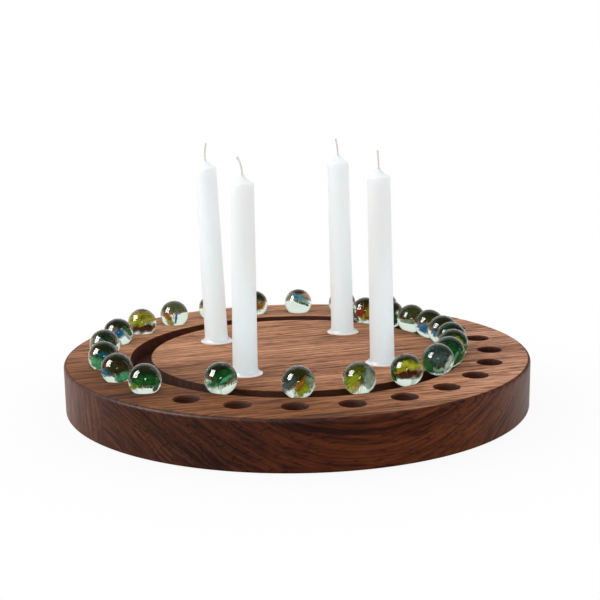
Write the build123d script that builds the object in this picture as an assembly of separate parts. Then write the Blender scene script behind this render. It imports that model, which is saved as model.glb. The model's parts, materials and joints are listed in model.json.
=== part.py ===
from build123d import *
from math import asin, cos, degrees, radians, sin, sqrt
import os

# Wooden base: a disc turned from three boards glued edge to edge
disc_diameter = 242.6
disc_thickness = 25.4
middle_board_width = 100.0
board_turn_degrees = 17.0
rim_round = 1.8
foot_round = 1.2

# Ring of drilled marble seats, set in from the rim, with sanded edges
seat_count = 24
seat_inset = 20.1
seat_diameter = 12.0
seat_depth = 8.0
edge_break = 0.3

# Ring groove that the waiting marbles roll in, inside the seats
groove_inset = 19.6
groove_width = 10.6
groove_depth = 8.0

# Glass marbles
marble_diameter = 16.0
marble_rest_gap = 0.1
filled_seat_count = 12
first_filled_seat = 4
loose_marble_degrees = (244.3, 270.95, 291.6, 310.75)
train_first_degrees = 329.4
train_count = 9
train_gap = 0.35

# Candles: cast tapers with a witch-hat top, set in from the groove
candle_count = 4
candle_inset = 31.1
candle_first_degrees = 60.0
candle_foot_diameter = 12.7
candle_top_diameter = 11.5
candle_shoulder_height = 101.4
candle_length = 106.2
candle_tip_diameter = 2.0
candle_foot_chamfer = 0.5
shoulder_round = 0.7
candle_hat_sag = 0.45
candle_rest_gap = 0.1
candle_lean_degrees = (1.2, 2.0, -0.4, 1.2)

# Braided wicks, the free ends bent over a little
wick_diameter = 1.4
wick_free_length = 9.0
wick_bend_degrees = (12.0, -12.0, 30.0, 4.0)

# White enamelled metal cups that line the candle holes
cup_bore_diameter = 13.5
cup_depth = 8.0
cup_wall = 0.5
cup_lip_height = 1.8
cup_lip_thickness = 0.4
cup_flange_diameter = 17.6
cup_flange_thickness = 0.5

overrun = 1.0

disc_radius = disc_diameter / 2
seat_circle_radius = disc_radius - seat_inset
groove_radius = seat_circle_radius - groove_inset
candle_circle_radius = groove_radius - candle_inset
seat_radius = seat_diameter / 2
groove_half = groove_width / 2
marble_radius = marble_diameter / 2
wick_radius = wick_diameter / 2
cup_bore_radius = cup_bore_diameter / 2
cup_sleeve_radius = cup_bore_radius + cup_wall
cup_flange_radius = cup_flange_diameter / 2
cup_floor_height = disc_thickness - cup_depth
candle_foot_radius = candle_foot_diameter / 2
candle_top_radius = candle_top_diameter / 2
candle_tip_radius = candle_tip_diameter / 2
train_pitch = 2 * degrees(asin((marble_diameter + train_gap) / (2 * groove_radius)))


def polar(radius, angle, height):
    return Pos(radius * cos(radians(angle)), radius * sin(radians(angle)), height)


def turned(outline):
    return revolve(Plane.XZ * make_face(outline), Axis.Z)


def seat_cutter():
    # A flat-bottomed drilled hole whose mouth is eased at 45 degrees
    mouth_radius = seat_radius + edge_break
    outline = Polyline(
        (0, -seat_depth),
        (seat_radius, -seat_depth),
        (seat_radius, -edge_break),
        (mouth_radius, 0),
        (mouth_radius, overrun),
        (0, overrun),
        close=True,
    )
    return Pos(0, 0, disc_thickness) * turned(outline)


def groove_cutter():
    # A flat-bottomed ring channel with both edges eased at 45 degrees
    inner = groove_radius - groove_half
    outer = groove_radius + groove_half
    outline = Polyline(
        (inner, -groove_depth),
        (outer, -groove_depth),
        (outer, -edge_break),
        (outer + edge_break, 0),
        (outer + edge_break, overrun),
        (inner - edge_break, overrun),
        (inner - edge_break, 0),
        (inner, -edge_break),
        close=True,
    )
    return Pos(0, 0, disc_thickness) * turned(outline)


def cup_socket():
    depth = cup_depth + cup_wall
    hole = Cylinder(cup_sleeve_radius, depth + overrun, align=(Align.CENTER, Align.CENTER, Align.MIN))
    return Pos(0, 0, disc_thickness - depth) * hole


def turned_disc():
    disc = Cylinder(disc_radius, disc_thickness, align=(Align.CENTER, Align.CENTER, Align.MIN))
    disc = fillet(disc.edges().group_by(Axis.Z)[-1], rim_round)
    disc = fillet(disc.edges().filter_by(GeomType.CIRCLE).group_by(Axis.Z)[0], foot_round)
    cuts = [groove_cutter()]
    for index in range(seat_count):
        cuts.append(polar(seat_circle_radius, index * 360 / seat_count, 0) * seat_cutter())
    for angle in candle_angles():
        cuts.append(polar(candle_circle_radius, angle, 0) * cup_socket())
    return disc - cuts


def boards():
    # The glue lines follow the grain, either side of the middle board
    disc = turned_disc()
    outer_width = disc_radius - middle_board_width / 2 + overrun
    length = disc_diameter + 2 * overrun
    height = disc_thickness + 2 * overrun
    turn = Rot(0, 0, board_turn_degrees)
    places = {
        "front_board": (-middle_board_width / 2 - outer_width / 2, outer_width),
        "middle_board": (0, middle_board_width),
        "back_board": (middle_board_width / 2 + outer_width / 2, outer_width),
    }
    return {
        name: disc & (turn * Pos(0, middle, disc_thickness / 2) * Box(length, width, height))
        for name, (middle, width) in places.items()
    }


def candle_angles():
    return [candle_first_degrees + index * 360 / candle_count for index in range(candle_count)]


def candle_cup():
    # A thin sleeve with a floor, a flange on the wood and a hollow sweep up to the lip
    lip_radius = cup_bore_radius + cup_lip_thickness
    sweep_start = (cup_flange_radius, cup_flange_thickness)
    sweep_end = (lip_radius, cup_lip_height)
    run = cup_flange_radius - lip_radius
    rise = cup_lip_height - cup_flange_thickness
    hollow_share = 0.3
    sweep_middle = (lip_radius + run * hollow_share, cup_flange_thickness + rise * hollow_share)
    outline = [
        Polyline(
            sweep_end,
            (cup_bore_radius, cup_lip_height),
            (cup_bore_radius, -cup_depth),
            (0, -cup_depth),
            (0, -cup_depth - cup_wall),
            (cup_sleeve_radius, -cup_depth - cup_wall),
            (cup_sleeve_radius, 0),
            (cup_flange_radius, 0),
            sweep_start,
        ),
        ThreePointArc(sweep_start, sweep_middle, sweep_end),
    ]
    return Pos(0, 0, disc_thickness) * turned(outline)


def candle_body():
    # The wax, bored for its wick, with a hollow cone from the shoulder up to the wick
    taper = (candle_foot_radius - candle_top_radius) / candle_shoulder_height
    side_height = candle_shoulder_height - shoulder_round
    side_end = (candle_top_radius + taper * shoulder_round, side_height)
    hat_start = (candle_top_radius - shoulder_round, candle_shoulder_height)
    hat_end = (candle_tip_radius, candle_length)
    hat_middle = (
        (hat_start[0] + hat_end[0]) / 2 - candle_hat_sag,
        (hat_start[1] + hat_end[1]) / 2 - candle_hat_sag,
    )
    outline = [
        Polyline(
            hat_end,
            (wick_radius, candle_length),
            (wick_radius, 0),
            (candle_foot_radius - candle_foot_chamfer, 0),
            (candle_foot_radius, candle_foot_chamfer),
            side_end,
        ),
        TangentArc(side_end, hat_start, tangent=(-taper, 1)),
        ThreePointArc(hat_start, hat_middle, hat_end),
    ]
    return turned(outline)


def wick_body(bend):
    # Straight through the wax, then bent over by one long arc
    bend_radius = wick_free_length / radians(abs(bend))
    run = Line((0, 0), (0, candle_length))
    free_end = JernArc((0, candle_length), (0, 1), bend_radius, bend)
    path = Plane.XZ * (run + free_end)
    return sweep(Plane.XY * Circle(wick_radius), path)


def candle_place(angle, lean):
    # A leaning candle stands on the low edge of its foot, on the floor of its cup
    foot_rise = candle_foot_radius * sin(radians(abs(lean))) + candle_rest_gap
    return polar(candle_circle_radius, angle, cup_floor_height + foot_rise) * Rot(0, -lean, 0)


def marble():
    return Sphere(marble_radius)


def marble_height(half_width):
    # Centre of a marble that rests on edges eased at 45 degrees
    return disc_thickness + marble_radius * sqrt(2) - half_width - edge_break + marble_rest_gap


def seat_marbles():
    angles = [(first_filled_seat + index) * 360 / seat_count for index in range(filled_seat_count)]
    height = marble_height(seat_radius)
    return [polar(seat_circle_radius, angle, height) * marble() for angle in angles]


def track_marbles():
    angles = list(loose_marble_degrees)
    angles += [train_first_degrees + index * train_pitch for index in range(train_count)]
    height = marble_height(groove_half)
    return [polar(groove_radius, angle, height) * marble() for angle in angles]


parts = boards()
for number, (angle, lean, bend) in enumerate(zip(candle_angles(), candle_lean_degrees, wick_bend_degrees), 1):
    place = candle_place(angle, lean)
    parts[f"candle_cup_{number}"] = polar(candle_circle_radius, angle, 0) * candle_cup()
    parts[f"candle_{number}"] = place * candle_body()
    parts[f"wick_{number}"] = place * wick_body(bend)
for number, solid in enumerate(seat_marbles(), 1):
    parts[f"seat_marble_{number:02}"] = solid
for number, solid in enumerate(track_marbles(), 1):
    parts[f"track_marble_{number:02}"] = solid

os.makedirs("parts", exist_ok=True)
for name, solid in parts.items():
    export_step(solid, f"parts/{name}.step")
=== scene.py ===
import bpy
import bmesh
import json
from math import cos, hypot, pi, radians, sin
from mathutils import Euler, Matrix, Vector, noise


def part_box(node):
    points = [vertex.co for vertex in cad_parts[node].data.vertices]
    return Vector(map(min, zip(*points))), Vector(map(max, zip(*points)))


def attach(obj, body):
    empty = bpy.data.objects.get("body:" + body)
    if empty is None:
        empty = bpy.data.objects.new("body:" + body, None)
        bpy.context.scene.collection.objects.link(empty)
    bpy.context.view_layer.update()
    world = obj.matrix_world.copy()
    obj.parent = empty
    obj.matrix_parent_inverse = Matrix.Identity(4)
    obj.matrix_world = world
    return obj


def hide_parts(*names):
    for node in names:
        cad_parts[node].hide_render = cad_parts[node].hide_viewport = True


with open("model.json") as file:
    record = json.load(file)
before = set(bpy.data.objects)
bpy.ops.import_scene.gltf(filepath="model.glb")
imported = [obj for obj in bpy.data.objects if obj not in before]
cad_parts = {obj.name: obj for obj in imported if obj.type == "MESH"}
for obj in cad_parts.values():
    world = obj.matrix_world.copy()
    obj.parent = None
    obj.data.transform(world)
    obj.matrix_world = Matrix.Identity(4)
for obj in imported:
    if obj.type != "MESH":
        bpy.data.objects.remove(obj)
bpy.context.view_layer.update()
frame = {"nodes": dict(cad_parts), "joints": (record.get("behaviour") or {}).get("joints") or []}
print("frame loaded with", len(frame["nodes"]), "nodes")


midNoise = (0.3, 0.7)  # where most of a noise's values lie


# small helpers for shader nodes
def newMaterial(name):
    material = bpy.data.materials.new(name)
    material.use_nodes = True
    material.node_tree.nodes.clear()
    return material, material.node_tree


def plug(tree, socket, value):
    if isinstance(value, bpy.types.NodeSocket):
        tree.links.new(value, socket)
    else:
        socket.default_value = value


def addNode(tree, kind, inputs=None, **settings):
    made = tree.nodes.new("ShaderNode" + kind)
    for key, value in settings.items():
        setattr(made, key, value)
    for key, value in (inputs or {}).items():
        plug(tree, made.inputs[key], value)
    return made


def calc(tree, operation, *values):
    made = addNode(tree, "Math", operation=operation)
    for socket, value in zip(made.inputs, values):
        plug(tree, socket, value)
    return made.outputs[0]


def stretch(tree, vector, factors):
    return addNode(tree, "VectorMath", {0: vector, 1: factors}, operation="MULTIPLY").outputs[0]


def dotOf(tree, vector, way):
    return addNode(tree, "VectorMath", {0: vector, 1: way}, operation="DOT_PRODUCT").outputs["Value"]


def lengthOf(tree, vector):
    return addNode(tree, "VectorMath", {0: vector}, operation="LENGTH").outputs["Value"]


def noiseOf(tree, vector, scale, detail=3.0, roughness=0.55):
    inputs = {"Vector": vector, "Scale": scale, "Detail": detail, "Roughness": roughness}
    return addNode(tree, "TexNoise", inputs).outputs["Fac"]


def remap(tree, value, low, high, outLow=0.0, outHigh=1.0, kind="LINEAR"):
    inputs = {"Value": value, "From Min": low, "From Max": high, "To Min": outLow, "To Max": outHigh}
    return addNode(tree, "MapRange", inputs, interpolation_type=kind).outputs["Result"]


def rampOf(tree, factor, stops):
    made = addNode(tree, "ValToRGB", {"Fac": factor})
    elements = made.color_ramp.elements
    elements.remove(elements[-1])
    for index, (position, colour) in enumerate(stops):
        element = elements[0] if index == 0 else elements.new(position)
        element.position = position
        element.color = colour
    return made.outputs["Color"]


def blendOf(tree, factor, first, second, kind="MIX"):
    made = addNode(tree, "Mix", data_type="RGBA", blend_type=kind)
    for index, value in ((0, factor), (6, first), (7, second)):
        plug(tree, made.inputs[index], value)
    return made.outputs[2]


def closeMaterial(tree, shader, volume=None):
    output = addNode(tree, "OutputMaterial", {"Surface": shader})
    if volume is not None:
        plug(tree, output.inputs["Volume"], volume)


def paint(red, green, blue):  # a screen colour, 0 to 255, as the shader reads it
    steps = [part / 255 for part in (red, green, blue)]
    return tuple(((part + 0.055) / 1.055) ** 2.4 for part in steps) + (1.0,)


def grey(level):
    return (level, level, level, 1.0)


# small helpers for meshes
weldDistance = 1e-6  # metres; corners closer than this are one
ringSlack = 2e-5  # metres; the last corners of a spin drift by up to this


def turnOnLathe(outline, steps):
    bm = bmesh.new()
    corners = [bm.verts.new((radius, 0, height)) for radius, height in outline]
    edges = [bm.edges.new(pair) for pair in zip(corners, corners[1:])]
    bmesh.ops.spin(
        bm, geom=corners + edges, cent=(0, 0, 0), axis=(0, 0, 1), angle=2 * pi, steps=steps, use_merge=True
    )
    bmesh.ops.remove_doubles(bm, verts=bm.verts, dist=weldDistance)
    bmesh.ops.recalc_face_normals(bm, faces=bm.faces)
    return bm


def roundRings(bm, rings, width, segments):
    def onRing(vert, radius, height):
        beside = abs(hypot(vert.co.x, vert.co.y) - radius)
        return beside < ringSlack and abs(vert.co.z - height) < ringSlack

    def onAny(edge):
        return any(all(onRing(vert, *ring) for vert in edge.verts) for ring in rings)

    picked = [edge for edge in bm.edges if onAny(edge)]
    bmesh.ops.bevel(bm, geom=picked, offset=width, affect="EDGES", segments=segments, profile=0.5, material=-1)


def spinCopies(bm, count):
    everything = bm.verts[:] + bm.edges[:] + bm.faces[:]
    more = count - 1
    turn = 2 * pi * more / count
    bmesh.ops.spin(
        bm, geom=everything, cent=(0, 0, 0), axis=(0, 0, 1), angle=turn, steps=more, use_duplicate=True
    )


def looseObject(name, bm):
    mesh = bpy.data.meshes.new(name)
    bm.to_mesh(mesh)
    bm.free()
    made = bpy.data.objects.new(name, mesh)
    bpy.context.scene.collection.objects.link(made)
    return made


def finishPiece(name, bm, material, body, nodes=(), sharp=35):
    bmesh.ops.recalc_face_normals(bm, faces=bm.faces)
    piece = looseObject(name, bm)
    piece.data.shade_smooth()
    piece.data.set_sharp_from_angle(angle=radians(sharp))
    piece.data.materials.append(material)
    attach(piece, body)
    if nodes:
        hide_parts(*nodes)
    return piece


def middleOf(node):
    low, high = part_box(node)
    return (low + high) / 2


# wooden disc: three boards glued edge to edge, turned, grooved and drilled
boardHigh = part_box("middle_board")[1]
discTop = boardHigh.z
discRadius = boardHigh.x
grooveRadius = middleOf("track_marble_01").xy.length
seatCircle = middleOf("seat_marble_01").xy.length
cupPlaces = {number: middleOf(f"candle_cup_{number}") for number in (1, 2, 3, 4)}

disc = {
    "steps": 288,
    "rimRound": 0.0018,
    "rimSegments": 7,
    "footRound": 0.0012,
    "footSegments": 4,
    "grooveWidth": 0.0106,
    "grooveDepth": 0.008,
    "seatCount": 24,
    "seatRadius": 0.006,
    "seatDepth": 0.008,
    "holeSteps": 48,
    "edgeBreak": 0.0003,
    "edgeSegments": 3,
    "seatEase": 0.0007,  # sanded edge of a seat
    "easeRound": 0.4,  # share of the ease that is rounded
    "socketRadius": 0.00725,
    "socketDepth": 0.0085,
    "overrun": 0.001,
    "sawSlack": 1e-7,
    "middleBoard": 0.1,
    "boardTurn": 17.0,  # degrees from X to the grain
}
walnut = {
    "pale": paint(212, 156, 118),
    "mid": paint(168, 114, 80),
    "dark": paint(86, 50, 30),
    "pore": (0.40, 0.34, 0.30, 1.0),
    "poreSpan": (0.57, 0.65),
    "poreWeight": 0.9,
    "poreRelief": -0.7,
    "cloudTone": paint(238, 214, 202),
    "cloudSpan": (0.35, 0.65),
    "cloudWeight": 0.35,
    "glue": (0.45, 0.40, 0.38, 1.0),
    "glueHalf": 0.00014,  # metres
    "glueWeight": 0.7,
    # across one growth ring: pale early wood, then dark late wood
    "lateWood": [(0.0, grey(0.25)), (0.1, grey(0.0)), (0.55, grey(0.2)), (0.9, grey(1.0)), (1.0, grey(0.3))],
    "lateWeight": 0.15,
    "ringWeight": 0.14,  # some rings are darker than others
    "weights": {"fibre": 0.40, "hair": 0.42, "figure": 0.14, "streak": 0.16},
    "noiseSpan": (0.36, 0.64),
    "toneStops": (0.40, 0.70, 0.98),  # pale, mid and dark
    "sideSpan": (0.45, 0.95),  # steepness of a face, from upright to level
    "rimSpan": (0.0016, 0.0004),  # metres in from the rim
    "sunkSpan": (0.00008, 0.00002),  # metres under the top
    "calm": (0.6, 0.32),  # how far the figure is evened out, in the cuts and on the rim
    "deepening": 1.3,  # oil makes the edge darker, richer and stronger in contrast than the top; part of that darkness is painted shade
    "rimTonesAndSheen": [  # along X, from the left end to the right end of the edge: wood tone, with painted sheen in the pale grey at the left end
        (0.0, (0.50, 0.40, 0.36, 1.0)),
        (0.12, (0.27, 0.205, 0.170, 1.0)),
        (0.32, (0.18, 0.120, 0.095, 1.0)),
        (0.52, (0.22, 0.104, 0.020, 1.0)),
        (0.72, (0.28, 0.165, 0.070, 1.0)),
        (0.90, (0.31, 0.205, 0.110, 1.0)),
        (1.0, (0.31, 0.20, 0.13, 1.0)),
    ],
    "sunkOilAndShadeTone": (0.26, 0.20, 0.165, 1.0),  # painted shade inside the groove and the seats, on their oil-darkened cut grain
    "edgeTone": (0.50, 0.36, 0.16, 1.0),  # the top darkens to the front left
    "edgeWay": (-0.5, -0.866, 0),
    "edgeSpan": (0.025, 0.095),
    "paintedSheenTone": (1.04, 1.12, 1.30, 1.0),  # and a painted sheen makes it paler and greyer at the right
    "paintedSheenSpan": (0.06, 0.112),
    "ringWander": 9.6,  # millimetres
    "topRough": 0.72,
    "sideRough": 0.38,
    "fibreRough": 0.12,
    "sheen": 0.18,
    "bump": {"Strength": 0.22, "Distance": 0.0002},
}
# noise in the wood: stretch per millimetre along, across and up the board, then detail and roughness
woodNoise = {
    "wander": ((0.007, 0.03, 0.03), 2.0, 0.55),
    "fibre": ((0.028, 0.55, 0.06), 5.0, 0.7),
    "hair": ((0.05, 1.2, 0.12), 4.0, 0.7),
    "figure": ((0.012, 0.16, 0.03), 3.0, 0.55),
    "streak": ((0.004, 0.05, 0.02), 2.0, 0.55),
    "cloud": ((0.004, 0.016, 0.016), 2.0, 0.55),
    "pore": ((0.10, 0.75, 0.75), 2.0, 0.55),
}
glueLine = disc["middleBoard"] / 2
acrossGrain = Vector((-sin(radians(disc["boardTurn"])), cos(radians(disc["boardTurn"])), 0))
# where the heart of the tree lay for each board (across and up, millimetres), and the slope of its grain
boardGrain = {
    "front_board": {"heart": (-16.0, -65.0), "slope": 1.0, "shift": 310.0, "ringPitch": 2.2},
    "middle_board": {"heart": (175.0, 8.0), "slope": -0.8, "shift": 0.0, "ringPitch": 4.3},
    "back_board": {"heart": (150.0, 85.0), "slope": 1.2, "shift": -270.0, "ringPitch": 3.4},
}


def walnutMaterial(name, grain):
    material, tree = newMaterial(name)
    place = addNode(tree, "TexCoord").outputs["Object"]
    turned = addNode(
        tree,
        "Mapping",
        {
            "Vector": place,
            "Location": (grain["shift"], 0, 0),
            "Rotation": (0, 0, radians(grain["slope"] - disc["boardTurn"])),
            "Scale": (1000, 1000, 1000),  # metres to millimetres
        },
    ).outputs["Vector"]
    parts = addNode(tree, "SeparateXYZ", {"Vector": turned})
    spot = addNode(tree, "SeparateXYZ", {"Vector": place})

    def pattern(kind, vector):
        spread, detail, roughness = woodNoise[kind]
        return noiseOf(tree, stretch(tree, vector, spread), 1.0, detail, roughness)

    def tinted(colour, weight, tint):
        return blendOf(tree, weight, colour, tint, "MULTIPLY")

    # growth rings round the heart, wandering along the board
    across = calc(tree, "SUBTRACT", parts.outputs["Y"], grain["heart"][0])
    upright = calc(tree, "SUBTRACT", parts.outputs["Z"], grain["heart"][1])
    squares = calc(tree, "ADD", calc(tree, "POWER", across, 2), calc(tree, "POWER", upright, 2))
    fromHeart = calc(tree, "SQRT", squares)
    fromHeart = calc(tree, "MULTIPLY_ADD", pattern("wander", turned), walnut["ringWander"], fromHeart)
    rings = calc(tree, "DIVIDE", fromHeart, grain["ringPitch"])
    ringNumber = calc(tree, "FLOOR", rings)
    ringTone = addNode(tree, "TexWhiteNoise", {"W": ringNumber}, noise_dimensions="1D").outputs["Value"]
    late = rampOf(tree, calc(tree, "FRACT", rings), walnut["lateWood"])

    # fibres, broad streaks and short pores, drawn out along the grain and lying in the growth layers
    layerInputs = {"X": parts.outputs["X"], "Y": fromHeart, "Z": parts.outputs["Z"]}
    layers = addNode(tree, "CombineXYZ", layerInputs).outputs[0]
    patterns = {kind: pattern(kind, layers) for kind in walnut["weights"]}
    pores = remap(tree, pattern("pore", turned), *walnut["poreSpan"])
    cloud = remap(tree, pattern("cloud", turned), *walnut["cloudSpan"], 0.0, walnut["cloudWeight"])

    tone = calc(tree, "MULTIPLY", late, walnut["lateWeight"])
    for kind, weight in walnut["weights"].items():
        tone = calc(tree, "MULTIPLY_ADD", remap(tree, patterns[kind], *walnut["noiseSpan"]), weight, tone)
    tone = calc(tree, "MULTIPLY_ADD", ringTone, walnut["ringWeight"], tone)
    tones = (walnut["pale"], walnut["mid"], walnut["dark"])
    colour = rampOf(tree, tone, list(zip(walnut["toneStops"], tones)))
    colour = tinted(colour, calc(tree, "MULTIPLY", pores, walnut["poreWeight"]), walnut["pore"])
    colour = tinted(colour, cloud, walnut["cloudTone"])

    # a thin dark line where the boards are glued
    offMiddle = calc(tree, "ABSOLUTE", dotOf(tree, place, acrossGrain))
    glue = calc(tree, "COMPARE", offMiddle, glueLine, walnut["glueHalf"])
    colour = tinted(colour, calc(tree, "MULTIPLY", glue, walnut["glueWeight"]), walnut["glue"])

    # upright faces and cuts are darker: partly oil soaking into their grain, partly painted shade on the sides
    # and in the hollows; the rim is smoother too
    normal = addNode(tree, "NewGeometry").outputs["Normal"]
    facing = calc(tree, "ABSOLUTE", addNode(tree, "SeparateXYZ", {"Vector": normal}).outputs["Z"])
    side = remap(tree, facing, *walnut["sideSpan"], 1.0, 0.0, "SMOOTHSTEP")
    fromAxis = lengthOf(tree, stretch(tree, place, (1, 1, 0)))
    onRim = remap(tree, fromAxis, *(discRadius - reach for reach in walnut["rimSpan"]))
    sunk = remap(tree, spot.outputs["Z"], *(discTop - reach for reach in walnut["sunkSpan"]), 1.0, 0.0)
    # mask of the oil darkening and the painted shade
    dark = calc(tree, "MAXIMUM", side, sunk)
    rimToneAndSheen = rampOf(tree, remap(tree, spot.outputs["X"], -discRadius, discRadius), walnut["rimTonesAndSheen"])
    oilAndShadeTone = blendOf(tree, onRim, walnut["sunkOilAndShadeTone"], rimToneAndSheen)

    # the top is darker at its front left edge, and a painted sheen makes it paler at the right
    towards = dotOf(tree, place, walnut["edgeWay"])
    edge = remap(tree, towards, *walnut["edgeSpan"], 0.0, 1.0, "SMOOTHSTEP")
    edge = calc(tree, "MULTIPLY", edge, calc(tree, "SUBTRACT", 1.0, dark))
    colour = blendOf(tree, edge, colour, tinted(colour, 1.0, walnut["edgeTone"]))
    paintedSheen = remap(tree, spot.outputs["X"], *walnut["paintedSheenSpan"], 0.0, 1.0, "SMOOTHSTEP")
    colour = blendOf(tree, paintedSheen, colour, tinted(colour, 1.0, walnut["paintedSheenTone"]))

    calm = blendOf(tree, remap(tree, onRim, 0.0, 1.0, *walnut["calm"]), colour, walnut["mid"])
    deep = addNode(tree, "Gamma", {"Color": calm, "Gamma": walnut["deepening"]}).outputs[0]
    colour = blendOf(tree, dark, colour, tinted(deep, 1.0, oilAndShadeTone))
    oiled = calc(tree, "MULTIPLY", side, onRim)
    rough = remap(tree, oiled, 0.0, 1.0, walnut["topRough"], walnut["sideRough"])
    rough = calc(tree, "MULTIPLY_ADD", patterns["fibre"], walnut["fibreRough"], rough)
    relief = calc(tree, "MULTIPLY_ADD", pores, walnut["poreRelief"], patterns["fibre"])
    bump = addNode(tree, "Bump", {"Height": relief, **walnut["bump"]})
    shader = addNode(
        tree,
        "BsdfPrincipled",
        {
            "Base Color": colour,
            "Roughness": rough,
            "Normal": bump.outputs[0],
            "Specular IOR Level": walnut["sheen"],
        },
    )
    closeMaterial(tree, shader.outputs[0])
    return material


def discBlank():
    inner = grooveRadius - disc["grooveWidth"] / 2
    outer = grooveRadius + disc["grooveWidth"] / 2
    floor = discTop - disc["grooveDepth"]
    outline = [
        (0, 0),
        (discRadius, 0),
        (discRadius, discTop),
        (outer, discTop),
        (outer, floor),
        (inner, floor),
        (inner, discTop),
        (0, discTop),
    ]
    bm = turnOnLathe(outline, disc["steps"])
    roundRings(bm, [(discRadius, discTop)], disc["rimRound"], disc["rimSegments"])
    roundRings(bm, [(discRadius, 0)], disc["footRound"], disc["footSegments"])
    roundRings(bm, [(inner, discTop), (outer, discTop)], disc["edgeBreak"], disc["edgeSegments"])
    return looseObject("discBlank", bm)


def seatCutters():
    low = discTop - disc["seatDepth"]
    high = discTop + disc["overrun"]
    throat = discTop - disc["seatEase"]
    radius = disc["seatRadius"]
    mouth = radius + disc["seatEase"]
    outline = [(0, low), (radius, low), (radius, throat), (mouth, discTop), (mouth, high), (0, high)]
    bm = turnOnLathe(outline, disc["holeSteps"])
    rounding = disc["seatEase"] * disc["easeRound"]
    roundRings(bm, [(radius, throat), (mouth, discTop)], rounding, disc["edgeSegments"])
    bmesh.ops.translate(bm, verts=bm.verts, vec=(seatCircle, 0, 0))
    spinCopies(bm, disc["seatCount"])
    return looseObject("seatCutters", bm)


def socketCutters():
    low = discTop - disc["socketDepth"]
    high = discTop + disc["overrun"]
    radius = disc["socketRadius"]
    bm = turnOnLathe([(0, low), (radius, low), (radius, high), (0, high)], disc["holeSteps"])
    bmesh.ops.translate(bm, verts=bm.verts, vec=cupPlaces[1].xy.to_3d())
    spinCopies(bm, len(cupPlaces))
    return looseObject("socketCutters", bm)


def carve(blank, cutter):
    cut = blank.modifiers.new("carve", "BOOLEAN")
    cut.object = cutter
    cut.operation = "DIFFERENCE"
    cut.solver = "EXACT"
    finished = blank.evaluated_get(bpy.context.evaluated_depsgraph_get())
    carved = bpy.data.meshes.new_from_object(finished)
    blank.modifiers.clear()
    blank.data = carved
    bpy.data.objects.remove(cutter)


def sawBoard(mesh, low, high):  # keeps the stretch of the disc between two glue lines
    bm = bmesh.new()
    bm.from_mesh(mesh)
    for plane, side in ((low, -1), (high, 1)):
        if abs(plane) < discRadius:
            cut = bmesh.ops.bisect_plane(
                bm,
                geom=bm.verts[:] + bm.edges[:] + bm.faces[:],
                dist=disc["sawSlack"],
                plane_co=acrossGrain * plane,
                plane_no=acrossGrain * side,
                clear_outer=True,
            )
            edges = [item for item in cut["geom_cut"] if isinstance(item, bmesh.types.BMEdge)]
            bmesh.ops.holes_fill(bm, edges=edges)
    return bm


blank = discBlank()
carve(blank, seatCutters())
carve(blank, socketCutters())
boardSpans = {
    "front_board": (-discRadius, -glueLine),
    "middle_board": (-glueLine, glueLine),
    "back_board": (glueLine, discRadius),
}
for node, span in boardSpans.items():
    board = sawBoard(blank.data, *span)
    wood = walnutMaterial("walnut_" + node, boardGrain[node])
    piece = finishPiece(node + "_walnut", board, wood, "base", [node])
    shading = piece.modifiers.new("evenShading", "WEIGHTED_NORMAL")
    shading.keep_sharp = True
bpy.data.objects.remove(blank)
print("boards sawn and finished")


# cups: thin enamelled sleeves with a flange that sweeps up to the lip
cup = {
    "bore": 0.00675,
    "wall": 0.0005,
    "depth": 0.008,
    "lipHeight": 0.0018,
    "lipThickness": 0.0004,
    "flangeRadius": 0.0088,
    "flangeThickness": 0.0005,
    "sweepSag": 0.15,  # how far the sweep sags from a straight line, as a share of it
    "sweepSteps": 10,
    "edgeRound": 0.00012,
    "edgeSegments": 3,
    "steps": 72,
    "sharp": 50,  # degrees
    # both whites are a little cool, painted against the warm light the wood throws on the cups
    "white": paint(240, 243, 245),
    "offWhite": paint(233, 237, 239),
    "edgeTan": paint(220, 162, 120),
    "edgeTanReach": 0.0002,  # metres in from the edge of the flange
    "edgeTanFade": 4.0,
    "mottleScale": 420.0,
    "mottleSpan": (0.35, 0.65),
    "rippleScale": 900.0,
    "rough": (0.22, 0.32),
    "coat": {"Coat Weight": 0.3, "Coat Roughness": 0.12},
    "bump": {"Strength": 0.06, "Distance": 0.0001},
}


def sagLine(start, end, sag, count):
    # points of a hollow sweep between two points, deepest half-way, without its ends
    start, end = Vector(start), Vector(end)
    along = end - start
    square = Vector((along.y, -along.x))
    points = []
    for index in range(1, count):
        share = index / count
        points.append(tuple(start + along * share + square * sag * 4 * share * (1 - share)))
    return points


def enamelMaterial():
    material, tree = newMaterial("white_enamel")
    place = addNode(tree, "TexCoord").outputs["Object"]
    mottle = noiseOf(tree, place, cup["mottleScale"], detail=3.0)
    ripple = noiseOf(tree, place, cup["rippleScale"], detail=2.0)
    colour = rampOf(tree, mottle, list(zip(cup["mottleSpan"], (cup["white"], cup["offWhite"]))))
    # the lowest band of the flange's edge is tinted tan
    tanShare = addNode(tree, "Attribute", attribute_name="edgeTanShare").outputs["Fac"]
    colour = blendOf(tree, tanShare, colour, cup["edgeTan"])
    bump = addNode(tree, "Bump", {"Height": ripple, **cup["bump"]})
    shader = addNode(
        tree,
        "BsdfPrincipled",
        {
            "Base Color": colour,
            "Roughness": remap(tree, mottle, *midNoise, *cup["rough"]),
            "Normal": bump.outputs[0],
            **cup["coat"],
        },
    )
    closeMaterial(tree, shader.outputs[0])
    return material


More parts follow.
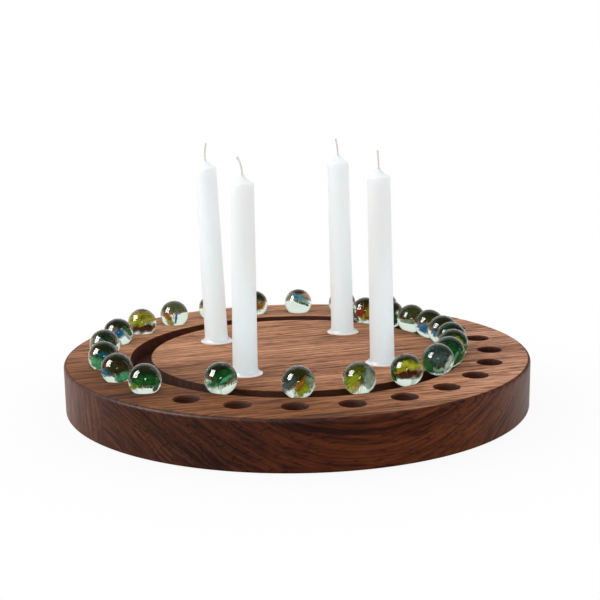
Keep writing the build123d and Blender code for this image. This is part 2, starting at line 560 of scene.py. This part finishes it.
def cupMesh():
    lip = cup["bore"] + cup["lipThickness"]
    sleeve = cup["bore"] + cup["wall"]
    floor = -cup["depth"]
    edge = (cup["flangeRadius"], cup["flangeThickness"])
    under = floor - cup["wall"]
    lipInside, lipOutside = (cup["bore"], cup["lipHeight"]), (lip, cup["lipHeight"])
    outline = [(0, floor), (cup["bore"], floor), lipInside, lipOutside]
    outline += sagLine(lipOutside, edge, cup["sweepSag"], cup["sweepSteps"])
    outline += [edge, (cup["flangeRadius"], 0), (sleeve, 0), (sleeve, under), (0, under)]
    bm = turnOnLathe(outline, cup["steps"])
    roundRings(bm, [lipInside, lipOutside, edge], cup["edgeRound"], cup["edgeSegments"])
    layer = bm.verts.layers.float.new("edgeTanShare")
    for vert in bm.verts:
        if hypot(vert.co.x, vert.co.y) > cup["flangeRadius"] - cup["edgeTanReach"]:
            below = 1 - vert.co.z / cup["flangeThickness"]
            vert[layer] = min(1.0, cup["edgeTanFade"] * max(0.0, below))
    return bm


enamel = enamelMaterial()
for number, place in cupPlaces.items():
    bm = cupMesh()
    bmesh.ops.translate(bm, verts=bm.verts, vec=(place.x, place.y, discTop))
    node = f"candle_cup_{number}"
    finishPiece(node + "_enamel", bm, enamel, "base", [node], cup["sharp"])
print("cups made")


# candles: tapered, with a hollow hat that climbs to the wick
candle = {
    "footRadius": 0.00635,
    "topRadius": 0.00575,
    "shoulderHeight": 0.1024,
    "length": 0.1062,
    "tipRadius": 0.001,
    "footChamfer": 0.0005,
    "shoulderRound": 0.0007,
    "shoulderSegments": 4,
    "hatSag": 0.08,
    "hatSteps": 8,
    "wickRadius": 0.0007,
    "wickDepth": 0.003,
    "unevenness": 0.00007,
    "trueFoot": 0.012,  # the foot is true up to here, and the tip near the wick
    "trueTip": 1.1,  # share of the tip's radius
    "lumps": (160, 60),  # per metre, across and along
    "lumpShift": 9,  # from one candle to the next
    "sideSteps": 24,
    "steps": 72,
    "sharp": 50,  # degrees
}
wax = {
    "heights": (0.02, 0.14),
    # cool white, cooler low down where the wood throws warm light on it
    "tones": [(0.0, (0.91, 1.0, 1.0, 1.0)), (0.5, (0.93, 0.99, 1.0, 1.0)), (1.0, (0.905, 0.945, 0.965, 1.0))],
    "cloudScale": 130.0,
    "cloudStretch": (1, 1, 0.35),
    "cloudTone": 0.94,
    "cloudWeight": 0.4,
    "grainScale": 1500.0,
    "grainWeight": 0.25,
    "rough": (0.42, 0.55),
    "bump": {"Strength": 0.10, "Distance": 0.0004},
    "glow": {"Subsurface Weight": 0.6, "Subsurface Radius": (1.0, 0.9, 0.8), "Subsurface Scale": 0.004},
    "sheen": 0.4,
}
wick = {
    "freeLength": 0.00895,
    "bends": {1: 12.0, 2: -12.0, 3: 30.0, 4: 4.0},  # degrees, positive to the left
    "strandRadius": 0.00017,
    "braidRadius": 0.00030,
    "weave": 0.00006,
    "weaveTimes": 3,
    "core": 0.8,  # share of the braid's radius
    "strands": 6,
    "turns": 2.6,
    "points": 40,
    "roundness": 2,
    "dim": paint(222, 219, 209),
    "bright": paint(244, 243, 238),
    "sootTone": paint(226, 223, 214),
    "fuzzScale": 6000.0,
    "fuzzStretch": (1, 1, 0.3),
    "sootScale": 900.0,
    "sootSpan": (0.4, 0.7),
    "sootWeight": 0.5,
    "rough": 0.9,
    "bump": {"Strength": 0.5, "Distance": 0.0001},
}
joints = {joint["name"]: joint for joint in frame["joints"]}


def candlePlace(number):
    # stands the candle on the low edge of its foot, leaning along its joint's axis
    axis = Vector(joints[f"candle_{number}_lift"]["axis"]).normalized()
    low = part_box(f"candle_{number}")[0].z
    foot = Vector((cupPlaces[number].x, cupPlaces[number].y, low))
    foot.z += (candle["footRadius"] - candle["footChamfer"]) * hypot(axis.x, axis.y)
    return Matrix.Translation(foot) @ Vector((0, 0, 1)).rotation_difference(axis).to_matrix().to_4x4()


def waxMaterial():
    material, tree = newMaterial("paraffin_wax")
    place = addNode(tree, "TexCoord").outputs["Object"]
    cloud = noiseOf(tree, stretch(tree, place, wax["cloudStretch"]), wax["cloudScale"], detail=3.0)
    grain = noiseOf(tree, place, wax["grainScale"], detail=2.0)
    height = addNode(tree, "SeparateXYZ", {"Vector": place}).outputs["Z"]
    colour = rampOf(tree, remap(tree, height, *wax["heights"]), wax["tones"])
    clouded = remap(tree, cloud, *midNoise, 0.0, wax["cloudWeight"])
    colour = blendOf(tree, clouded, colour, grey(wax["cloudTone"]), "MULTIPLY")
    relief = calc(tree, "MULTIPLY_ADD", grain, wax["grainWeight"], cloud)
    bump = addNode(tree, "Bump", {"Height": relief, **wax["bump"]})
    shader = addNode(
        tree,
        "BsdfPrincipled",
        {
            "Base Color": colour,
            "Roughness": remap(tree, cloud, *midNoise, *wax["rough"]),
            "Normal": bump.outputs[0],
            **wax["glow"],
            "Specular IOR Level": wax["sheen"],
        },
    )
    closeMaterial(tree, shader.outputs[0])
    return material


def cottonMaterial():
    material, tree = newMaterial("wick_cotton")
    place = addNode(tree, "TexCoord").outputs["Object"]
    fuzz = noiseOf(tree, stretch(tree, place, wick["fuzzStretch"]), wick["fuzzScale"], detail=3.0)
    soot = noiseOf(tree, place, wick["sootScale"], detail=2.0)
    colour = rampOf(tree, fuzz, list(zip(midNoise, (wick["dim"], wick["bright"]))))
    sooty = remap(tree, soot, *wick["sootSpan"], 0.0, wick["sootWeight"])
    colour = blendOf(tree, sooty, colour, wick["sootTone"], "MULTIPLY")
    bump = addNode(tree, "Bump", {"Height": fuzz, **wick["bump"]})
    looks = {"Base Color": colour, "Roughness": wick["rough"], "Normal": bump.outputs[0]}
    shader = addNode(tree, "BsdfPrincipled", looks)
    closeMaterial(tree, shader.outputs[0])
    return material


def candleMesh(number):
    foot, chamfer, top = candle["footRadius"], candle["footChamfer"], candle["topRadius"]
    shoulder = (top, candle["shoulderHeight"])
    tip = (candle["tipRadius"], candle["length"])
    outline = [(0, 0), (foot - chamfer, 0)]
    for index in range(candle["sideSteps"]):
        share = index / candle["sideSteps"]
        height = chamfer + (candle["shoulderHeight"] - chamfer) * share
        outline.append((foot + (top - foot) * share, height))
    outline += [shoulder] + sagLine(shoulder, tip, -candle["hatSag"], candle["hatSteps"]) + [tip]
    hole = candle["length"] - candle["wickDepth"]
    outline += [(candle["wickRadius"], candle["length"]), (candle["wickRadius"], hole), (0, hole)]
    bm = turnOnLathe(outline, candle["steps"])
    roundRings(bm, [shoulder], candle["shoulderRound"], candle["shoulderSegments"])
    # hand-poured wax is never quite true
    across, along = candle["lumps"]
    nearWick = candle["tipRadius"] * candle["trueTip"]
    for vert in bm.verts:
        if vert.co.z > candle["trueFoot"] and hypot(vert.co.x, vert.co.y) > nearWick:
            shift = number * candle["lumpShift"]
            spot = Vector((vert.co.x * across, vert.co.y * across, vert.co.z * along + shift))
            outwards = vert.co.xy.to_3d().normalized()
            vert.co -= outwards * candle["unevenness"] * (1 + noise.noise(spot))
    return bm


def wickLine(number):
    # the bent free end, point by point: the share of its length, the place and the sideways vector there
    bend = radians(wick["bends"][number])
    radius = wick["freeLength"] / bend
    places = []
    for index in range(wick["points"] + 1):
        share = index / wick["points"]
        angle = bend * share
        middle = Vector((-radius * (1 - cos(angle)), 0, candle["length"] + radius * sin(angle)))
        sideways = Vector((cos(angle), 0, sin(angle)))
        places.append((share, middle, sideways))
    return places


def addTube(curve, points, radius):
    spline = curve.splines.new("POLY")
    spline.points.add(len(points) - 1)
    for point, place in zip(spline.points, points):
        point.co = (*place, 1.0)
        point.radius = radius


def wickMesh(number):
    curve = bpy.data.curves.new("wickStrands", "CURVE")
    curve.dimensions = "3D"
    curve.bevel_depth = 1.0
    curve.bevel_resolution = wick["roundness"]
    curve.use_fill_caps = True
    line = wickLine(number)
    foot = Vector((0, 0, candle["length"] - candle["wickDepth"]))
    core = [middle for share, middle, sideways in line[:-2]]  # ends inside the braid
    addTube(curve, [foot] + core, wick["braidRadius"] * wick["core"])
    deep = Vector((0, 1, 0))
    for strand in range(wick["strands"]):
        way = 1 if strand % 2 else -1
        points = []
        for share, middle, sideways in line:
            angle = 2 * pi * (strand / wick["strands"] + way * wick["turns"] * share)
            reach = wick["braidRadius"] + wick["weave"] * way * cos(wick["weaveTimes"] * angle)
            points.append(middle + (sideways * cos(angle) + deep * sin(angle)) * reach)
        addTube(curve, points, wick["strandRadius"])
    holder = bpy.data.objects.new("wickStrands", curve)
    bpy.context.scene.collection.objects.link(holder)
    finished = holder.evaluated_get(bpy.context.evaluated_depsgraph_get())
    bm = bmesh.new()
    bm.from_mesh(bpy.data.meshes.new_from_object(finished))
    bmesh.ops.remove_doubles(bm, verts=bm.verts, dist=weldDistance)
    bpy.data.objects.remove(holder)
    bpy.data.curves.remove(curve)
    return bm


paraffin = waxMaterial()
cotton = cottonMaterial()
for number in cupPlaces:
    body = f"candle_{number}"
    place = candlePlace(number)
    for name, bm, material, slot, node in (
        (f"candle_{number}_wax", candleMesh(number), paraffin, "wax", f"candle_{number}"),
        (f"wick_{number}_cotton", wickMesh(number), cotton, "wick", f"wick_{number}"),
    ):
        bmesh.ops.transform(bm, matrix=place, verts=bm.verts)
        finishPiece(name, bm, material, body, [node], candle["sharp"])
print("candles and wicks made")


# glass marbles with coloured ribbons inside
glass = {
    "subdivisions": 5,
    "ior": 1.5,
    "tint": (0.57, 0.76, 0.58, 1.0),
    "density": 50.0,
    "shade": (0.10, 0.14, 0.10, 1.0),  # what is left of light that crosses a marble
    "sharp": 60,  # degrees
}
ribbon = {
    "shrink": 0.74,  # the ball magnifies what lies inside it
    "halfDepth": 0.04,  # share of the marble's radius
    "crossings": 2,  # vanes made again a quarter turn round, so that colour shows from the sides too
    "crossDepth": 0.008,  # thin, because they are seen on edge from the front
    "step": 0.085,  # from one vane back to the next
    # where the dark back vane stands, which also paints the shade seen through the upper half
    "shadeVaneDepth": 0.34,
    "twist": 24.0,  # degrees from end to end
    "streaks": 0.7,
    "streakNoise": (0.9, 3.0, 7.0),  # along the vane, from vane to vane, across it
    "wispNoise": (4.0, 5.0, 1.2),
    "grow": 1.2,  # makes up for the faded edges
    "softEdge": 1.6,
    "lastEdge": 12,  # how steeply the outermost edge fades
    "feather": 0.5,
    "glow": (1.3, 0.65),  # vanes are brighter low down, where the light gathers, than high up
    "glowSpan": 1.2,
    "grainScale": 1200.0,
    "grainSpan": (0.4, 0.7),
    "grainWeight": 0.5,
    "grainTone": 0.4,
    "rough": (0.4, 0.6),
    "sheen": 0.1,
    "around": 48,
    "along": 36,
}
tints = {
    "green": paint(28, 116, 48),
    "mint": paint(96, 190, 142),
    "deep": paint(44, 84, 56),
    "olive": paint(118, 118, 12),
    "moss": paint(92, 96, 50),
    "lime": paint(184, 190, 24),
    "yellow": paint(228, 190, 34),
    "amber": paint(204, 130, 14),
    "orange": paint(222, 98, 14),
    "red": paint(190, 44, 10),
    "maroon": paint(86, 38, 2),
    "blue": paint(34, 140, 204),
    "teal": paint(24, 128, 160),
    "mist": paint(168, 190, 174),
    "slate": paint(92, 108, 110),
    # smoke, soot, umber and haze mostly colour the dark back vanes, which also paint the shade in the upper
    # half
    "smoke": paint(66, 68, 18),
    "soot": paint(48, 58, 22),
    "umber": paint(70, 56, 18),
    "haze": paint(130, 136, 100),
    "sky": paint(128, 218, 255),
    "citron": paint(240, 238, 70),
    "straw": paint(232, 196, 110),
    "frost": paint(226, 240, 230),
}
# each vane as it is seen from the front: tint, place, half size and tilt, in shares of the marble's radius;
# the last one lies at the back: a dark vane that also paints the shade seen through the upper half
marbleLooks = {
    "seat_marble_01": [
        ("green", (-0.1, -0.2), (0.7, 0.3), -20),
        ("soot", (0.0, 0.36), (0.85, 0.55), 6),
    ],
    "seat_marble_02": [
        ("olive", (0.1, 0.0), (0.7, 0.3), 30),
        ("soot", (0.0, 0.36), (0.85, 0.55), 6),
    ],
    "seat_marble_03": [
        ("frost", (0.20, 0.12), (0.66, 0.10), -20),
        ("sky", (0.02, 0.28), (0.74, 0.26), -16),
        ("green", (0.14, -0.02), (0.60, 0.12), -24),
        ("umber", (0.0, 0.64), (0.60, 0.24), 0),
    ],
    "seat_marble_04": [
        ("green", (-0.2, 0.1), (0.6, 0.4), 60),
        ("amber", (0.3, -0.15), (0.5, 0.3), 40),
        ("smoke", (0.0, 0.40), (0.85, 0.50), 0),
    ],
    "seat_marble_05": [
        ("mist", (0.1, 0.0), (0.7, 0.3), 40),
        ("teal", (-0.1, -0.3), (0.5, 0.3), -30),
        ("soot", (0.0, 0.40), (0.85, 0.50), 0),
    ],
    "seat_marble_06": [
        ("amber", (-0.44, -0.14), (0.36, 0.16), -30),
        ("straw", (-0.30, -0.46), (0.46, 0.18), -55),
        ("blue", (0.08, -0.26), (0.36, 0.07), 80),
        ("haze", (0.05, 0.40), (0.85, 0.46), 4),
    ],
    "seat_marble_07": [
        ("yellow", (0.1, 0.40), (0.70, 0.08), 12),
        ("citron", (0.0, 0.28), (1.05, 0.44), 12),
        ("maroon", (0.02, -0.34), (0.95, 0.30), 4),
        ("umber", (0.0, 0.78), (0.66, 0.20), 0),
    ],
    "seat_marble_08": [
        ("blue", (0.0, -0.08), (0.40, 0.30), 20),
        ("frost", (0.48, -0.12), (0.52, 0.12), -50),
        ("green", (0.60, 0.0), (0.46, 0.20), -50),
        ("mist", (-0.3, -0.42), (0.46, 0.16), -35),
        ("soot", (0.0, 0.46), (0.85, 0.42), 0),
    ],
    "seat_marble_09": [
        ("mist", (-0.1, 0.0), (0.80, 0.26), -40),
        ("deep", (0.3, 0.2), (0.70, 0.36), -40),
        ("moss", (0.0, 0.46), (0.85, 0.40), 0),
    ],
    "seat_marble_10": [
        ("teal", (0.1, 0.05), (0.50, 0.16), -20),
        ("mint", (-0.32, -0.40), (0.52, 0.30), -30),
        ("deep", (0.10, -0.10), (0.75, 0.34), -20),
        ("soot", (0.0, 0.40), (0.85, 0.50), 0),
    ],
    "seat_marble_11": [
        ("mint", (0.42, -0.46), (0.52, 0.28), 12),
        ("teal", (-0.7, -0.2), (0.20, 0.30), 70),
        ("umber", (0.05, 0.05), (0.80, 0.50), 4),
        ("smoke", (0.0, 0.34), (0.88, 0.58), 0),
    ],
    "seat_marble_12": [
        ("green", (0.12, -0.06), (0.86, 0.34), 6),
        ("lime", (-0.50, -0.36), (0.46, 0.14), 12),
        ("mint", (0.58, -0.22), (0.34, 0.16), 30),
        ("soot", (0.0, 0.36), (0.88, 0.56), 6),
    ],
    "track_marble_01": [
        ("mint", (0.36, 0.0), (0.66, 0.13), 30),
        ("green", (0.12, 0.0), (0.98, 0.40), 28),
        ("soot", (-0.08, 0.34), (0.88, 0.58), 14),
    ],
    "track_marble_02": [
        ("amber", (0.12, -0.12), (0.56, 0.12), 58),
        ("lime", (0.22, -0.42), (0.50, 0.24), 42),
        ("mist", (0.52, -0.10), (0.50, 0.26), 70),
        ("slate", (-0.48, -0.20), (0.50, 0.26), 40),
        ("smoke", (0.0, 0.36), (0.88, 0.56), 0),
    ],
    "track_marble_03": [
        ("mist", (0.52, 0.0), (0.75, 0.30), 100),
        ("straw", (-0.24, -0.56), (0.44, 0.16), 50),
        ("lime", (-0.30, -0.20), (0.62, 0.34), 40),
        ("olive", (-0.06, 0.20), (0.80, 0.60), 10),
        ("smoke", (0.0, 0.44), (0.88, 0.48), 0),
    ],
    "track_marble_04": [
        ("yellow", (-0.30, 0.0), (0.40, 0.12), 26),
        ("citron", (0.18, 0.26), (0.74, 0.30), 6),
        ("maroon", (0.12, -0.22), (0.78, 0.28), 0),
        ("green", (-0.62, -0.24), (0.48, 0.22), 80),
        ("smoke", (0.0, 0.44), (0.88, 0.48), 0),
    ],
    "track_marble_05": [
        ("frost", (0.56, -0.28), (0.60, 0.14), 66),
        ("mist", (0.16, -0.62), (0.50, 0.12), 16),
        ("slate", (0.10, 0.08), (0.56, 0.48), -12),
        ("green", (-0.52, -0.26), (0.56, 0.36), 110),
        ("deep", (0.0, 0.26), (0.88, 0.62), 0),
    ],
    "track_marble_06": [
        ("mint", (0.36, -0.30), (0.56, 0.10), 60),
        ("green", (0.1, -0.05), (0.84, 0.50), -8),
        ("deep", (0.0, 0.20), (0.90, 0.70), 18),
    ],
    "track_marble_07": [
        ("lime", (0.40, 0.20), (0.50, 0.14), -50),
        ("green", (0.0, 0.05), (0.80, 0.46), 14),
        ("soot", (0.0, 0.30), (0.88, 0.60), 0),
    ],
    "track_marble_08": [
        ("mist", (-0.2, -0.2), (0.52, 0.16), -40),
        ("green", (0.1, 0.1), (0.80, 0.42), -30),
        ("soot", (0.0, 0.36), (0.88, 0.56), 0),
    ],
    "track_marble_09": [
        ("blue", (-0.3, -0.30), (0.50, 0.22), -25),
        ("soot", (0.0, 0.36), (0.88, 0.50), -6),
    ],
    "track_marble_10": [
        ("blue", (-0.34, -0.32), (0.56, 0.26), -25),
        ("mist", (0.30, -0.16), (0.52, 0.18), -10),
        ("smoke", (0.0, 0.42), (0.88, 0.48), 0),
    ],
    "track_marble_11": [
        ("mist", (-0.1, -0.22), (0.75, 0.12), -8),
        ("moss", (0.0, 0.36), (0.88, 0.52), 0),
    ],
    "track_marble_12": [
        ("green", (0.1, -0.15), (0.70, 0.26), -14),
        ("soot", (0.0, 0.36), (0.88, 0.52), 10),
    ],
    "track_marble_13": [
        ("red", (-0.40, -0.04), (0.40, 0.26), 20),
        ("yellow", (0.16, 0.0), (0.78, 0.20), 60),
        ("orange", (-0.1, -0.36), (0.52, 0.20), -30),
        ("umber", (0.0, 0.42), (0.85, 0.46), 0),
    ],
}


def glassMaterial():
    material, tree = newMaterial("marble_glass")
    clear = addNode(
        tree,
        "BsdfPrincipled",
        {
            "Base Color": (1.0, 1.0, 1.0, 1.0),
            "Roughness": 0.0,
            "IOR": glass["ior"],
            "Transmission Weight": 1.0,
        },
    )
    # light that lands on the wood comes through a marble only once and much weaker
    inside = addNode(tree, "NewGeometry").outputs["Backfacing"]
    through = addNode(tree, "BsdfTransparent", {"Color": blendOf(tree, inside, glass["shade"], grey(1.0))})
    path = addNode(tree, "LightPath")
    mixed = clear
    for ray in ("Is Shadow Ray", "Is Diffuse Ray"):
        mixed = addNode(tree, "MixShader", {0: path.outputs[ray], 1: mixed.outputs[0], 2: through.outputs[0]})
    depth = addNode(tree, "VolumeAbsorption", {"Color": glass["tint"], "Density": glass["density"]})
    closeMaterial(tree, mixed.outputs[0], depth.outputs[0])
    return material


def ribbonMaterial():
    material, tree = newMaterial("marble_ribbons")
    place = addNode(tree, "TexCoord").outputs["Object"]
    tint = addNode(tree, "Attribute", attribute_name="ribbonTint")
    streak = noiseOf(tree, place, ribbon["grainScale"], detail=3.0)
    streaked = remap(tree, streak, *ribbon["grainSpan"], 0.0, ribbon["grainWeight"])
    colour = blendOf(tree, streaked, tint.outputs["Color"], grey(ribbon["grainTone"]), "MULTIPLY")
    shader = addNode(
        tree,
        "BsdfPrincipled",
        {
            "Base Color": colour,
            "Roughness": remap(tree, streak, *midNoise, *ribbon["rough"]),
            "Alpha": tint.outputs["Alpha"],
            "Specular IOR Level": ribbon["sheen"],
        },
    )
    closeMaterial(tree, shader.outputs[0])
    return material


def bounded(value):
    return min(1.0, max(0.0, value))


def addRibbon(bm, layer, radius, index, look, back=False, crossing=False):
    tint, place, size, tilt = look
    verts = bmesh.ops.create_uvsphere(
        bm, u_segments=ribbon["around"], v_segments=ribbon["along"], radius=1.0
    )["verts"]
    bmesh.ops.rotate(bm, verts=verts, matrix=Matrix.Rotation(pi / 2, 3, "Y"))  # poles to the vane's two ends
    reach = radius * ribbon["shrink"]
    thickness = ribbon["crossDepth" if crossing else "halfDepth"] * radius
    stretched = Vector((size[0] * reach * ribbon["grow"], thickness, size[1] * reach * ribbon["grow"]))
    streakAlong, streakStep, streakAcross = ribbon["streakNoise"]
    wispAlong, wispStep, wispAcross = ribbon["wispNoise"]
    covers = {}
    for vert in verts:
        streakSpot = (vert.co.x * streakAlong, index * streakStep + tilt, vert.co.z * streakAcross)
        wispSpot = (vert.co.x * wispAlong, index * wispStep - tilt, vert.co.z * wispAcross)
        streak, wisp = noise.noise(Vector(streakSpot)), noise.noise(Vector(wispSpot))
        inwards = 1 - hypot(vert.co.x, vert.co.z)
        cover = (inwards + ribbon["feather"] * wisp) * ribbon["softEdge"]
        covers[vert] = (bounded(min(cover, inwards * ribbon["lastEdge"])), 1 + ribbon["streaks"] * streak)
        turn = radians(ribbon["twist"]) * vert.co.x / 2
        vert.co *= stretched
        vert.co.rotate(Euler((turn, 0, 0)))
    bmesh.ops.rotate(bm, verts=verts, matrix=Matrix.Rotation(-radians(tilt), 3, "Y"))
    depth = ribbon["shadeVaneDepth"] if back else index * ribbon["step"]
    bmesh.ops.translate(bm, verts=verts, vec=(place[0] * reach, depth * radius, place[1] * reach))
    if crossing:
        bmesh.ops.rotate(bm, verts=verts, matrix=Matrix.Rotation(pi / 2, 3, "Z"))
    bright, dim = ribbon["glow"]
    for vert in verts:
        cover, level = covers[vert]
        share = bounded(vert.co.z / reach / ribbon["glowSpan"] + 0.5)
        level *= bright + (dim - bright) * share
        vert[layer] = (*(min(1.0, part * level) for part in tints[tint][:3]), cover)


clearGlass = glassMaterial()
ribbonGlass = ribbonMaterial()
for node, looks in marbleLooks.items():
    low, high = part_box(node)
    radius = (high.x - low.x) / 2
    ball = bmesh.new()
    bmesh.ops.create_icosphere(ball, subdivisions=glass["subdivisions"], radius=radius)
    ribbons = bmesh.new()
    layer = ribbons.verts.layers.float_color.new("ribbonTint")
    # the last look is the dark back vane, which also paints the shade in the upper half
    for index, look in enumerate(looks):
        addRibbon(ribbons, layer, radius, index, look, back=look is looks[-1])
    for index, look in enumerate(looks[:-1][: ribbon["crossings"]]):
        addRibbon(ribbons, layer, radius, index, look, crossing=True)
    for bm in (ball, ribbons):
        bmesh.ops.translate(bm, verts=bm.verts, vec=middleOf(node))
    finishPiece(node + "_glass", ball, clearGlass, node, [node], glass["sharp"])
    finishPiece(node + "_ribbons", ribbons, ribbonGlass, node, (), glass["sharp"])
print("marbles made:", len(marbleLooks))


# pale floor that fades to the white background, with the object's soft shadow
floor = {
    "size": 12.0,
    "level": -0.0002,  # just under the disc
    "paint": grey(0.88),
    "white": 0.90,  # share of plain white near the object, where its shadow shows
    "shadowReach": (0.125, 0.24),
    "gloss": (0.05, 1.0),  # how bright it mirrors in glossy pieces, at the front and at the back
    "glossSpan": (-0.14, 0.0),
}


def floorMaterial():
    material, tree = newMaterial("pale_floor")
    place = addNode(tree, "TexCoord").outputs["Object"]
    path = addNode(tree, "LightPath")
    seen = calc(tree, "MAXIMUM", path.outputs["Is Camera Ray"], path.outputs["Is Glossy Ray"])
    seen = calc(tree, "MAXIMUM", seen, path.outputs["Is Transmission Ray"])
    reach = lengthOf(tree, place)
    white = remap(tree, reach, *floor["shadowReach"], floor["white"], 1.0, "SMOOTHSTEP")
    plain = addNode(tree, "BsdfDiffuse", {"Color": floor["paint"]})
    depth = addNode(tree, "SeparateXYZ", {"Vector": place}).outputs["Y"]
    mirrored = remap(tree, depth, *floor["glossSpan"], *floor["gloss"], "SMOOTHSTEP")
    dimming = calc(tree, "SUBTRACT", mirrored, 1.0)
    strength = calc(tree, "MULTIPLY_ADD", path.outputs["Is Glossy Ray"], dimming, 1.0)
    glow = addNode(tree, "Emission", {"Color": grey(1.0), "Strength": strength})
    share = calc(tree, "MULTIPLY", seen, white)
    mixed = addNode(tree, "MixShader", {0: share, 1: plain.outputs[0], 2: glow.outputs[0]})
    closeMaterial(tree, mixed.outputs[0])
    return material


bm = bmesh.new()
bmesh.ops.create_grid(bm, x_segments=1, y_segments=1, size=floor["size"])
bmesh.ops.translate(bm, verts=bm.verts, vec=(0, 0, floor["level"]))
ground = looseObject("pale_floor", bm)
ground.data.materials.append(floorMaterial())


# plain soft studio light: a white room, a large window at the left and a small lamp by the camera
studio = {
    "ambient": 0.95,
    "gloss": (0.06, 1.0),  # how bright the room mirrors in glossy pieces, at the front and at the back
    "glossSpan": (0.2, 0.95),
    "windowFrom": (-0.88, -0.05, 0.47),
    "windowDistance": 1.3,
    "windowSize": (0.62, 0.62),
    "windowPower": 2.8,
    "glintFrom": (-0.765, -0.247, 0.594),
    "glintDistance": 1.235,
    "glintSize": (0.70, 0.84),
    "glintTurn": 20.0,  # degrees
    "glintPower": 33.0,
    "lampOffset": (0.02, 0, 0.06),  # from the camera
    "lampPower": 0.6,
    "lampSize": 0.12,
    "fillAim": (0, 0, 0.04),
    "fillColour": (0.56, 0.87, 1.0),
}
# low lamps that take the warm cast of the wood off the candles, and light nothing else
fills = {
    "front_fill": {
        "candles": (3, 4),
        "from": (0.10, -0.30, 0.040),
        "size": (0.3, 0.02),
        "spread": 24.0,
        "power": 0.014,
    },
    "back_fill": {
        "candles": (1, 2),
        "from": (0.06, -0.40, 0.030),
        "size": (0.3, 0.05),
        "spread": 34.0,
        "power": 0.038,
    },
}
camera = {
    "target": (0.0, 0.0, discTop),
    "distance": 0.6988,
    "elevation": 14.10,
    "azimuth": 0.66,
    "roll": -0.80,
    "lens": 79.6,
    "shiftX": 0.00504,
    "shiftY": 0.08634,
    "nearest": 0.01,
}


def studioWorld():
    world = bpy.data.worlds.new("studio")
    world.use_nodes = True
    bpy.context.scene.world = world
    tree = world.node_tree
    tree.nodes.clear()
    path = addNode(tree, "LightPath")
    seen = calc(tree, "MAXIMUM", path.outputs["Is Camera Ray"], path.outputs["Is Transmission Ray"])
    direction = addNode(tree, "TexCoord").outputs["Generated"]
    depth = addNode(tree, "SeparateXYZ", {"Vector": direction}).outputs["Y"]
    gloss = remap(tree, depth, *studio["glossSpan"], *studio["gloss"], "SMOOTHSTEP")
    room = addNode(tree, "Background", {"Color": grey(1.0), "Strength": studio["ambient"]})
    mirrored = addNode(tree, "Background", {"Color": grey(1.0), "Strength": gloss})
    white = addNode(tree, "Background", {"Color": grey(1.0), "Strength": 1.0})
    glossy = path.outputs["Is Glossy Ray"]
    lit = addNode(tree, "MixShader", {0: glossy, 1: room.outputs[0], 2: mirrored.outputs[0]})
    whole = addNode(tree, "MixShader", {0: seen, 1: lit.outputs[0], 2: white.outputs[0]})
    addNode(tree, "OutputWorld", {"Surface": whole.outputs[0]})


def areaLamp(name, place, aim, size, power):
    light = bpy.data.lights.new(name, "AREA")
    light.shape = "RECTANGLE"
    light.size, light.size_y = size
    light.energy = power
    lamp = bpy.data.objects.new(name, light)
    bpy.context.scene.collection.objects.link(lamp)
    lamp.location = place
    lamp.rotation_euler = (Vector(place) - Vector(aim)).to_track_quat("Z", "Y").to_euler()
    lamp.visible_camera = False
    return lamp


def setCamera():
    data = bpy.data.cameras.new("photo_view")
    data.lens = camera["lens"]
    data.shift_x = camera["shiftX"]
    data.shift_y = camera["shiftY"]
    data.clip_start = camera["nearest"]
    turn = Matrix.Rotation(radians(camera["azimuth"]), 4, "Z")
    turn = turn @ Matrix.Rotation(radians(90 - camera["elevation"]), 4, "X")
    back = turn.col[2].to_3d()
    holder = bpy.data.objects.new("photo_view", data)
    bpy.context.scene.collection.objects.link(holder)
    place = Matrix.Translation(Vector(camera["target"]) + back * camera["distance"])
    holder.matrix_world = place @ turn @ Matrix.Rotation(radians(camera["roll"]), 4, "Z")
    bpy.context.scene.camera = holder
    return holder


studioWorld()
view = setCamera()
target = Vector(camera["target"])
windowPlace = target + Vector(studio["windowFrom"]).normalized() * studio["windowDistance"]
window = areaLamp("window", windowPlace, target, studio["windowSize"], studio["windowPower"])
window.visible_glossy = False
glintPlace = target + Vector(studio["glintFrom"]).normalized() * studio["glintDistance"]
glint = areaLamp("window_glint", glintPlace, target, studio["glintSize"], studio["glintPower"])
glint.rotation_euler.rotate_axis("Z", radians(studio["glintTurn"]))
lampPlace = view.matrix_world.translation + Vector(studio["lampOffset"])
lamp = areaLamp("camera_lamp", lampPlace, target, (studio["lampSize"],) * 2, studio["lampPower"])
for name, look in fills.items():
    fill = areaLamp(name, look["from"], studio["fillAim"], look["size"], look["power"])
    fill.data.color = studio["fillColour"]
    fill.data.spread = radians(look["spread"])
    fill.visible_glossy = False
    linking = fill.light_linking
    linking.receiver_collection = bpy.data.collections.new(name + "_candles")
    linking.blocker_collection = bpy.data.collections.new(name + "_shade")
    linking.blocker_collection.objects.link(ground)
    for number in look["candles"]:
        linking.receiver_collection.objects.link(bpy.data.objects[f"candle_{number}_wax"])
for shine in (glint, lamp):  # these only show as bright reflections in the glass and as sheen
    shine.visible_diffuse = False
    shine.visible_transmission = False
bpy.context.scene.view_settings.view_transform = "Standard"
print("studio set")
